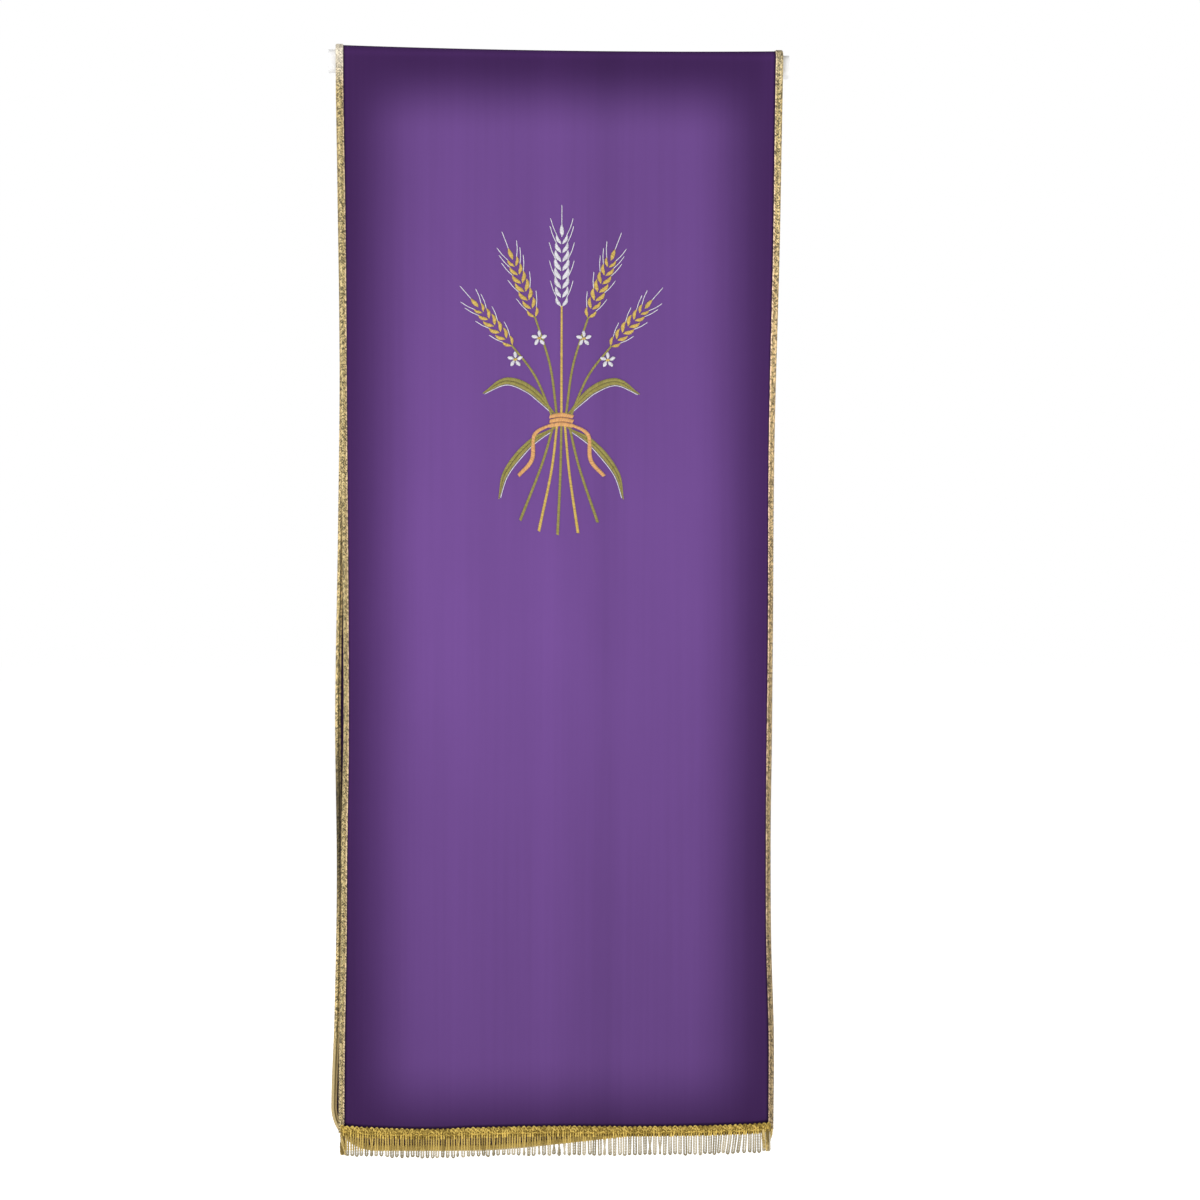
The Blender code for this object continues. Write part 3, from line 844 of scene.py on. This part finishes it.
# Yarns of one crocheted repeat: radius in mm and five points each, in shares of the pitch across, mm above
# the hem, mm out: two arcs of the scallop, a wavy wrap, two pillars, a small wrap round each, one crossing
headingYarns = (
    (0.70, ((0.05, 5.6, 1.0), (0.10, 9.9, 1.1), (0.50, 11.2, 1.2), (0.90, 9.9, 1.1), (0.95, 5.6, 1.0))),
    (0.60, ((0.30, 4.8, 1.2), (0.34, 7.8, 1.3), (0.50, 9.0, 1.3), (0.66, 7.8, 1.3), (0.70, 4.8, 1.2))),
    (0.66, ((0.00, 8.6, 1.1), (0.22, 8.3, 2.0), (0.50, 6.4, 2.1), (0.78, 4.7, 2.0), (1.00, 4.2, 1.1))),
    (1.00, ((0.27, 6.6, 1.1), (0.24, 4.5, 1.4), (0.30, 2.6, 1.4), (0.26, 0.8, 1.3), (0.27, -1.8, 1.1))),
    (1.00, ((0.73, 6.4, 1.1), (0.70, 4.4, 1.4), (0.76, 2.4, 1.4), (0.72, 0.6, 1.3), (0.73, -1.8, 1.1))),
    (0.55, ((-0.06, 3.2, 1.0), (0.08, 4.3, 2.2), (0.28, 4.9, 2.8), (0.46, 4.0, 2.2), (0.52, 2.8, 1.0))),
    (0.55, ((0.46, 2.0, 1.0), (0.58, 3.1, 2.2), (0.76, 3.6, 2.8), (0.94, 3.0, 2.2), (1.04, 2.0, 1.0))),
    (0.52, ((0.44, 6.2, 1.2), (0.38, 7.4, 1.7), (0.46, 8.6, 1.6), (0.56, 9.4, 1.4), (0.62, 10.2, 1.0))),
)


def bezier(control, share):
    # control is points x 5 x 3, share is one value for each point
    rest = 1 - share
    weights = np.stack([math.comb(4, i) * share**i * rest ** (4 - i) for i in range(5)], axis=-1)
    return np.einsum("ni,nij->nj", weights, control)


def makeHeading():
    random = np.random.default_rng(11)
    kinds = len(headingYarns)
    count = fringe["count"] * kinds
    radius = np.array([kind[0] for kind in headingYarns]) * mm
    table = np.array([kind[1] for kind in headingYarns])
    control = stack(table[..., 0] * fringePitch, table[..., 1] * mm, table[..., 2] * mm)
    uneven = random.normal(0, fringe["headingUneven"], (count, 5, 3)) * mm * (1, 1, 0.4)
    uneven[table[np.arange(count) % kinds, :, 1] < 0, 1] *= fringe["lowerEdgeUneven"]
    control = np.tile(control, (fringe["count"], 1, 1)) + uneven

    def place(yarn, angle, share):
        start = fringeLeft + (yarn // kinds) * fringePitch
        facing = np.array([0.0, 0.0, 1.0])
        ply = 1 + 0.16 * np.cos(2 * angle + 14 * share)
        thick = radius[yarn % kinds] * ply
        local = tubeSection(lambda s: bezier(control[yarn], s), share, angle, facing, thick)
        local[:, 0] += start
        return onHeading(local)

    piece, yarn, _ = addYarns("fringeHeading", count, 10, 9, place)
    writeValues(piece.data, "tone", (0.5 + 0.09 * random.standard_normal(count))[yarn])
    finishFringe(piece, "heading")

    # the woven foot behind the crochet, coloured dark as painted shade, which shows dark through its holes
    columns = fringe["count"] * 2
    back, column, row = addGrid("fringeFoot", columns, len(fringe["footRows"]) - 1)
    across = fringeLeft + (fringeRight - fringeLeft) * column / columns
    above = np.array(fringe["footRows"])[row] * mm
    writePoints(back.data, onHeading(stack(across, above, fringe["footOut"] * mm)))
    writeValues(back.data, "tone", np.full(len(across), 0.15))
    applyModifier(back, "SOLIDIFY", thickness=fringe["footThickness"], offset=0)
    smoothShading(60)
    finishFringe(back, "foot")
    return piece, back


inDepth = np.array([0.0, 1.0, 0.0])  # hanging yarns never run this way


def makeStrands():
    random = np.random.default_rng(5)
    count = fringe["count"]
    across = fringeLeft + fringePitch * (np.arange(count) + 0.5)
    root = rootsAt(across, fringe["rootDepth"])
    lean = -fringe["leaningReach"] * bump((across - fringe["leaningMiddle"]) / fringe["leaningHalf"])
    lean = lean + random.uniform(-fringe["sway"], fringe["sway"], count) * mm
    forward = random.uniform(-fringe["forward"], fringe["forward"], count) * mm
    length = fringe["strandLength"] + random.uniform(*fringe["lengthSpread"], count) * mm
    length = length - fringe["rootDepth"][0] * mm
    legGap = fringePitch * random.uniform(*fringe["legSpread"], count)
    crossing = random.uniform(-fringe["legTurn"], fringe["legTurn"], count)
    crossedShare, crossedBy = fringe["crossedLegs"]
    crossing = crossing + np.where(random.random(count) < crossedShare, crossedBy, 0.0)
    phase = random.uniform(0, 6.28, count)

    def place(yarn, angle, share):
        # down one leg, round the bottom and up the other
        def path(s):
            turn = np.pi * np.clip((s - fringe["legEnds"]) / fringe["turnShare"], 0, 1)
            down = np.minimum(np.where(s < 0.5, s, 1 - s) / fringe["legEnds"], 1)
            twist = fringe["halfTurns"] * crossing[yarn] * down * np.pi
            x = -np.cos(turn) * legGap[yarn] * np.cos(twist) + lean[yarn] * down**1.3
            y = np.sin(twist) * legGap[yarn] * 0.5 * np.sign(0.5 - s) + forward[yarn] * down
            z = -down * (length[yarn] - legGap[yarn]) - np.sin(turn) * legGap[yarn]
            return root[yarn] + stack(x, y, z)

        ply = 1 + 0.15 * np.cos(2 * angle + phase[yarn] + share * 95)
        return tubeSection(path, share, angle, inDepth, fringe["strandYarn"] * ply)

    piece, yarn, share = addYarns("fringeStrands", count, 8, 59, place)
    atTip = bump((share - 0.5) / 0.13)
    leg = 0.12 * np.sin(6.3 * share + phase[yarn])
    tones = (0.57 + 0.15 * random.standard_normal(count))[yarn] + leg - 0.36 * atTip
    writeValues(piece.data, "tone", tones)
    points = readPoints(piece.data)
    # painted light, paler where the strands hang below the back hem
    backHemHeight = clothTop - hemDrop(1, np.clip(points[:, 0], -halfWidth, halfWidth))
    clear = smooth((backHemHeight + fringe["paintedBacklitAbove"] + 0.8 * mm - points[:, 2]) / (1.6 * mm))
    writeValues(piece.data, "clear", clear)
    finishFringe(piece, "strand", clear=fringe["paintedBacklitLook"])
    return piece


def makeEndBundles():
    # the raw ends of the fringe are turned under, so each corner hangs as thick twisted bundles
    random = np.random.default_rng(9)
    ends, middles, yarns, *shapes = zip(*fringe["bundles"])
    owner = np.repeat(np.arange(len(ends)), yarns)
    count = len(owner)
    atRoot, atEnd, shorter, lean = (np.array(values) * mm for values in shapes)
    middles = np.where(np.array(ends) == "left", fringeLeft, fringeRight) + np.array(middles) * mm
    root = rootsAt(middles, fringe["bundleDepth"])
    around = 2 * np.pi * np.arange(count) / 5 + random.uniform(-0.4, 0.4, count)
    away = random.uniform(0.6, 1.0, count)
    length = fringe["strandLength"] + 1.2 * mm - random.uniform(0, 1.6, count) * mm - shorter[owner]
    phase = random.uniform(0, 6.28, count)

    starts = fringe["bundleStarts"] * mm

    def place(yarn, angle, share):
        mine = owner[yarn]

        def path(s):
            turned = around[yarn] + 3.6 * s
            wide = away[yarn] * (atRoot[mine] + (atEnd[mine] - atRoot[mine]) * smooth(s))
            x = np.cos(turned) * wide + lean[mine] * s
            y = np.sin(turned) * wide * 0.5
            z = starts - (length[yarn] + starts) * s
            return root[mine] + stack(x, y, z)

        blunt = np.sqrt(np.clip(1 - np.maximum(share - 0.93, 0) ** 2 / 0.0064, 0.15, 1))
        ply = (1 + 0.20 * np.cos(2 * angle + phase[yarn] + share * 45)) * blunt
        return tubeSection(path, share, angle, inDepth, fringe["bundleYarn"] * mm * ply)

    piece, yarn, _ = addYarns("fringeEndBundles", count, 8, 27, place)
    writeValues(piece.data, "tone", (0.46 + 0.28 * random.standard_normal(count))[yarn])
    finishFringe(piece, "bundle")
    return piece


fringeHeading, fringeFoot = makeHeading()
fringeStrands = makeStrands()
fringeEndBundles = makeEndBundles()

# Embroidery: a sheaf of wheat with leaves and a tied ribbon, in satin stitch
sheaf = {
    "tieDrop": 0.415,  # how far the tie lies below the cloth's top
    "middle": 0.002,
    "threadPitch": 0.00056,
    "threadHeight": 0.00022,
    "threadWidth": 0.62,  # half of it, as a share of the pitch
    "taper": 0.45,
    "ragged": 0.12,  # mm that a stitch ends short or long
    "leastHalf": 0.25,
    "satinRise": (0.9, 0.22, 0.15),  # mm: the most, the share of the width, the least
    "runningStitch": 3.2,
    "runningOverlap": 0.42,
    "runningSlant": 0.22,
    "runningRise": 0.25,
    "colours": {
        "gold": ((0.74, 0.52, 0.12), (0.42, 0.27, 0.045)),
        "olive": ((0.36, 0.31, 0.075), (0.18, 0.155, 0.03)),
        "silver": ((0.82, 0.81, 0.84), (0.50, 0.48, 0.55)),
        "peach": ((0.82, 0.44, 0.17), (0.50, 0.23, 0.07)),
    },
}
threads = {colour: [] for colour in sheaf["colours"]}
stitchRandom = np.random.default_rng(3)


def smoothLine(points, count):
    # a smooth curve through a few points, evenly spaced
    points = np.array(points, float)
    ends = np.vstack((2 * points[0] - points[1], points, 2 * points[-1] - points[-2]))
    fine = []
    for i in range(len(points) - 1):
        a, b, c, d = ends[i : i + 4]
        t = np.linspace(0, 1, 24, endpoint=i == len(points) - 2)[:, None]
        square, cube = 2 * a - 5 * b + 4 * c - d, 3 * b - a - 3 * c + d
        fine.append(0.5 * (2 * b + (c - a) * t + square * t**2 + cube * t**3))
    fine = np.concatenate(fine)
    reached = lengthsAlong(fine)
    places = np.linspace(0, reached[-1], count)
    return np.stack([np.interp(places, reached, fine[:, k]) for k in range(2)], axis=-1), reached[-1]


def lineLength(points):
    return smoothLine(points, 60)[1]


def lineWays(line):
    # unit vectors along a line and to its left
    tangent = unit(np.gradient(line, axis=0))
    return tangent, leftOf(tangent)


def leftOf(ways):
    return stack(-ways[:, 1], ways[:, 0])


def spreadEvenly(widths, count):
    return np.interp(np.linspace(0, 1, count), np.linspace(0, 1, len(widths)), widths)


def addThreads(colour, start, end, rise, layer):
    count = len(start)
    rows = (start, end, np.broadcast_to(rise, count), np.full(count, layer))
    threads[colour].append(np.column_stack(rows))


def satin(colour, points, widths, slant=18, layer=0.0):
    # threads laid across a line; points and widths in mm, widths spread evenly along it
    count = max(int(lineLength(points) / (sheaf["threadPitch"] / mm)), 4)
    line = smoothLine(points, count)[0]
    tangent, side = lineWays(line)
    turned = math.radians(slant)
    crosswise = side * math.cos(turned) + tangent * math.sin(turned)
    width = spreadEvenly(widths, count)
    half = width / 2 / math.cos(turned) + stitchRandom.uniform(-sheaf["ragged"], sheaf["ragged"], count)
    half = np.maximum(half, sheaf["leastHalf"])
    most, share, least = sheaf["satinRise"]
    rise = np.minimum(most, share * width + least)
    addThreads(colour, line - crosswise * half[:, None], line + crosswise * half[:, None], rise, layer)


def running(colour, points, layer=0.0):
    # thin line of overlapping long stitches
    stitch = sheaf["runningStitch"]
    count = max(int(lineLength(points) / (stitch * sheaf["runningOverlap"])), 2)
    line = smoothLine(points, count + 1)[0]
    tangent, side = lineWays(line)
    side = side * sheaf["runningSlant"]
    start = line - tangent * stitch * 0.5 - side
    end = line + tangent * stitch * 0.5 + side
    addThreads(colour, start, end, sheaf["runningRise"], layer)


def ear(points, grains, size, colour):
    # an ear of wheat along a line: paired grains, a top grain, and awns
    line = smoothLine(points, grains + 1)[0]
    tangent, side = lineWays(line)
    for k in range(grains):
        swell = size * (0.78 + 0.34 * math.sin(math.pi * (k + 0.6) / grains))
        for hand in (-1, 1):
            foot = line[k] + side[k] * hand * 1.1
            tip = foot + tangent[k] * 12.0 * swell + side[k] * hand * 5.6 * swell
            middle = (foot + tip) / 2 + side[k] * hand * 1.5 * swell
            widths = (0.8, 4.2 * swell, 5.0 * swell, 3.6 * swell, 0.7)
            satin(colour, (foot, middle, tip), widths, slant=24 * hand, layer=0.05)
            if k % 2 == 0 or k > grains - 3:
                awn = tip + tangent[k] * 17 * size + side[k] * hand * 6.5 * size
                running("silver", (tip, (tip + awn) / 2 + side[k] * hand * 0.6, awn))
    top = line[-1] + tangent[-1] * 12 * size
    middle = (line[-1] + top) / 2
    satin(colour, (line[-1] - tangent[-1] * 2, middle, top), (0.8, 4.4, 5.0, 3.6, 0.7), layer=0.1)
    running("silver", (top, top + tangent[-1] * 9 * size, top + tangent[-1] * 20 * size))


def leaf(points, widths, edged):
    # two halves of slanting stitches that meet at the vein, and a fine silver edge on one side
    count = 40
    line = smoothLine(points, count)[0]
    side = lineWays(line)[1]
    width = spreadEvenly(widths, count)
    for hand in (-1, 1):
        half = line + side * hand * (width / 4)[:, None]
        satin("olive", half[::3], width[::3] / 2, slant=38 * hand, layer=0.05)
    running("silver", (line + side * (width / 2 + 0.9)[:, None] * edged)[2:-1:4], layer=0.1)


def mirrored(points, hand):
    return [(x * hand, y) for x, y in points]


def drawSheaf():
    # stems above the tie and their ears, the left ones mirrored to the right: stem and ear colour, the stem's
    # foot, bend and neck and the ear's middle and tip in mm from the tie, grains, size
    stalks = (
        ((1,), "gold", "silver", ((0, 6), (0, 70), (0, 128), (0, 170), (0, 208)), 8, 1.0),
        ((1, -1), "olive", "gold", ((-5, 5), (-13, 62), (-30, 116), (-42, 146), (-56, 182)), 7, 0.92),
        ((1, -1), "olive", "gold", ((-10, 4), (-30, 50), (-56, 84), (-74, 104), (-95, 128)), 6, 0.86),
    )
    for hands, stem, grain, places, grains, size in stalks:
        for hand in hands:
            points = mirrored(places, hand)
            satin(stem, points[:3], (3.0, 2.8, 2.3))
            ear(points[2:], grains, size, grain)
    # stems below the tie, splayed and cut off
    for x, bend, end, colour in (
        (-9, (-22, -50), (-46, -112), "olive"), (-5, (-11, -56), (-25, -124), "gold"),
        (0, (-1, -60), (-4, -128), "olive"), (4, (9, -58), (19, -126), "gold"),
        (9, (20, -52), (41, -114), "olive"),
    ):
        satin(colour, ((x, -6), bend, end), (3.0, 3.0, 3.4))
    # long leaves, bending over
    for points, widths in (
        (((-8, 8), (-34, 34), (-62, 44), (-88, 30)), (1.5, 7.5, 9.0, 7.0, 1.0)),
        (((-7, -8), (-36, -26), (-62, -58), (-70, -88)), (1.5, 6.5, 8.0, 6.0, 1.0)),
    ):
        for hand in (1, -1):
            leaf(mirrored(points, hand), widths, hand)
    # the tie, three bands, and its two ribbon ends
    for k in (-1, 0, 1):
        edge = k * 5.2 - 1
        satin("peach", ((-13, edge), (0, k * 5.2 + 1.2), (13, edge)), (4.4, 5.2, 4.4), layer=0.45)
    for hand in (1, -1):
        ribbon = mirrored(((-10, -4), (-30, -16), (-33, -44), (-48, -62)), hand)
        satin("peach", ribbon, (3.0, 4.6, 5.0, 4.2), layer=0.4)
    # small blossoms among the stalks
    petals = 5
    for x, y in ((-25, 92), (25, 92), (-52, 68), (52, 68)):
        for k in range(petals):
            turned = math.radians(90 + 360 / petals * k)
            way = np.array((math.cos(turned), math.sin(turned)))
            petal = [np.array((x, y)) + way * reach for reach in (1.6, 5.0, 8.4)]
            satin("silver", petal, (1.2, 4.0, 4.6, 2.0), layer=0.4)
        satin("gold", ((x - 1.8, y), (x, y), (x + 1.8, y)), (2.4, 3.4, 2.4), layer=0.8)


def makeEmbroidery():
    drawSheaf()
    made = []
    for colour, (pale, deep) in sheaf["colours"].items():
        rows = np.concatenate(threads[colour])
        count = len(rows)

        def place(yarn, angle, share):
            row = rows[yarn]
            line = (row[:, 2:4] - row[:, 0:2]) * mm
            length = np.linalg.norm(line, axis=1, keepdims=True)
            way = line / length
            flat = row[:, 0:2] * mm + line * share[:, None]
            half = sheaf["threadPitch"] * sheaf["threadWidth"]
            taper = np.where((share < 0.02) | (share > 0.98), sheaf["taper"], 1.0)
            flat = flat + leftOf(way) * (np.cos(angle) * half * taper)[:, None]
            arch = row[:, 4] * mm * np.sin(np.pi * np.clip(share, 0, 1)) ** 0.5
            height = sheaf["threadHeight"]
            up = halfThickness + row[:, 5] * mm + arch + height * 0.5 + np.sin(angle) * height * taper
            return offFront(sheaf["middle"] + flat[:, 0], sheaf["tieDrop"] - flat[:, 1], up)

        piece, yarn, _ = addYarns("embroidery" + colour.capitalize(), count, 4, 3, place)
        tones = np.clip(0.6 + 0.14 * stitchRandom.standard_normal(count), 0, 1)[yarn]
        writeValues(piece.data, "tone", tones)
        shine = yarnMaterial(colour + "Thread", pale, deep, Roughness=0.34, Metallic=0.0, Sheen_Weight=0.35)
        finishPiece(piece, "cloth", shine)
        made.append(piece)
    return made


embroidery = makeEmbroidery()

print("cloth is", clothSize["width"], "by", round(backEnd - frontEnd, 3), "m")


# Bar: its own solid, painted white
def barMaterial():
    paint = Paint("whiteBarPaint", Roughness=0.38, Coat_Weight=0.25, Coat_Roughness=0.2)
    place = paint.node("TexCoord").outputs["Object"]
    brushed = paint.noise(paint.stretched(place, 6, 160, 160), 1.0, 3.0)
    colour = paint.mix(brushed, (0.90, 0.90, 0.90), (0.97, 0.97, 0.98))
    return paint.finish(colour, brushed, depth=0.0002, strength=0.25)


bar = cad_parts["hanging_bar"]
bar.data.materials.clear()
bar.data.materials.append(barMaterial())

# Stage: pale floor, white room, soft lamps
studio = {
    "floorDrop": 1.55,
    "floorSize": 40,
    "lamps": (
        # name, place, aimed at, size, watts
        ("keyLamp", (-1.9, -3.0, 1.0), (0.0, 0.0, -0.6), 1.8, 52),
        ("fillLamp", (2.4, -2.8, -0.2), (0.0, 0.0, -0.7), 2.2, 12),
        ("backLamp", (-1.0, 3.2, 1.2), (0.0, 0.0, -0.6), 2.2, 45),
    ),
    "roomGlow": 0.40,  # how strongly the white room lights things
    "floorGlow": 0.62,
}


def makeStage():
    bpy.ops.mesh.primitive_plane_add(size=studio["floorSize"], location=(0, 0, -studio["floorDrop"]))
    floor = bpy.context.active_object
    floor.name = "paleFloor"
    paint = Paint(
        "paleFloorPaint", Roughness=0.9, Specular_IOR_Level=0.1,
        Emission_Color=(1, 1, 1, 1), Emission_Strength=studio["floorGlow"],
    )
    place = paint.node("TexCoord").outputs["Object"]
    cloud = paint.noise(place, 0.6, 2.0)
    floor.data.materials.append(paint.finish(paint.mix(cloud, (0.95, 0.95, 0.95), (0.97, 0.97, 0.97))))
    for name, place, aim, size, watts in studio["lamps"]:
        bpy.ops.object.light_add(type="AREA", location=place)
        lamp = bpy.context.active_object
        lamp.name = name
        lamp.data.size = size
        lamp.data.energy = watts
        away = Matrix.Translation(place).translation - Matrix.Translation(aim).translation
        lamp.rotation_euler = away.to_track_quat("Z", "Y").to_euler()
    room = bpy.data.worlds.new("whiteRoom")
    room.use_nodes = True
    nodes, links = room.node_tree.nodes, room.node_tree.links
    seen = nodes["Background"]
    seen.inputs["Color"].default_value = (1, 1, 1, 1)
    isSeen = nodes.new("ShaderNodeLightPath").outputs["Is Camera Ray"]
    strength = nodes.new("ShaderNodeMapRange")
    strength.inputs["To Min"].default_value = studio["roomGlow"]
    strength.inputs["To Max"].default_value = 1.0
    links.new(isSeen, strength.inputs["Value"])
    links.new(strength.outputs["Result"], seen.inputs["Strength"])
    bpy.context.scene.world = room
    bpy.context.scene.view_settings.view_transform = "Standard"


makeStage()
